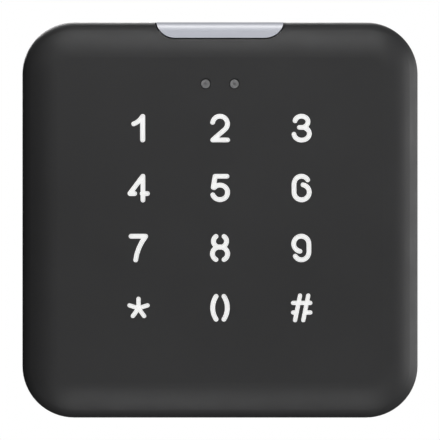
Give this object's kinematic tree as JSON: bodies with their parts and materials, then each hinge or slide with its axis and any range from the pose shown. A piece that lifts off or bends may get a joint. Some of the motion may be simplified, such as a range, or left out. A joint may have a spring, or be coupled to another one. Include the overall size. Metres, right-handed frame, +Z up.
{
  "type": "rfid card reader",
  "caption": "Square wall card reader with a lit touch keypad, a light bar and indicator windows, hung on a hooked wall bracket and locked from below.",
  "frame": {"origin": "centre of the wall bracket's back face, which lies on the wall", "axes": "+Y into the wall, so the keypad faces -Y; +Z up; +X to the right as seen from the front"},
  "size_m": [0.086, 0.018, 0.086],
  "materials": {
    "cover_plastic": "matte, finely textured moulded plastic",
    "light_guide": "smooth translucent white",
    "bar_lens": "polished translucent white",
    "indicator_lens": "smooth smoked grey",
    "white_plastic": "satin",
    "spring_contact": "gold-plated wire",
    "led": "clear resin",
    "circuit_board": "solder mask",
    "zinc_screw": "zinc plated",
    "coil_wire": "enamelled copper wire",
    "black_part": "satin",
    "chip": "moulded epoxy",
    "metal_can": "satin",
    "ceramic": "fired ceramic",
    "connector_plastic": "satin nylon",
    "tin_pin": "tin plated",
    "seal_rubber": "soft matt",
    "housing_plastic": "matte moulded plastic",
    "lock_steel": "black oxide",
    "brass": "turned and knurled",
    "plunger_plastic": "satin acetal",
    "spring_steel": "drawn wire",
    "bracket_plastic": "matte moulded plastic"
  },
  "bodies": {
    "wall_bracket": {"wall_bracket": "bracket_plastic"},
    "reader": {"front_cover": "cover_plastic", "keypad_light_guide": "light_guide", "light_bar_lens": "bar_lens", "indicator_lens_left": "indicator_lens", "indicator_lens_right": "indicator_lens", "key_light_frame": "white_plastic", "touch_spring_1": "spring_contact", "touch_spring_2": "spring_contact", "touch_spring_3": "spring_contact", "touch_spring_4": "spring_contact", "touch_spring_5": "spring_contact", "touch_spring_6": "spring_contact", "touch_spring_7": "spring_contact", "touch_spring_8": "spring_contact", "touch_spring_9": "spring_contact", "touch_spring_10": "spring_contact", "touch_spring_11": "spring_contact", "touch_spring_12": "spring_contact", "key_leds": "led", "status_leds": "led", "indicator_leds": "led", "main_board": "circuit_board", "board_screws": "zinc_screw", "antenna_coil": "coil_wire", "buzzer": "black_part", "microcontroller": "chip", "reader_chip": "chip", "touch_chip": "chip", "crystal": "metal_can", "power_capacitors": "metal_can", "voltage_regulator": "chip", "power_inductor": "black_part", "chip_resistors": "chip", "chip_capacitors": "ceramic", "cable_connector": "connector_plastic", "connector_pins": "tin_pin", "connector_seal": "seal_rubber", "rear_housing": "housing_plastic", "housing_gasket": "seal_rubber", "housing_screws": "zinc_screw", "lock_screw_insert": "brass", "tamper_switch_body": "black_part", "tamper_spring": "spring_steel"},
    "lock_screw": {"lock_screw": "lock_steel"},
    "tamper_plunger": {"tamper_plunger": "plunger_plastic"}
  },
  "joints": [
    {"name": "reader_swing", "type": "hinge", "parent": "wall_bracket", "child": "reader", "pos_m": [0, -0.0014, 0.0412], "axis": [-1, 0, 0], "range_deg": [0, 20]},
    {"name": "lock_screw_travel", "type": "slide", "parent": "reader", "child": "lock_screw", "axis": [0, 0, 1], "range_m": [0, 0.0032]},
    {"name": "tamper_travel", "type": "slide", "parent": "reader", "child": "tamper_plunger", "axis": [0, 1, 0], "range_m": [0, 0.0015], "stiffness_N_per_m": 300, "springref_m": 0.003, "deforming": ["tamper_spring"]}
  ]
}
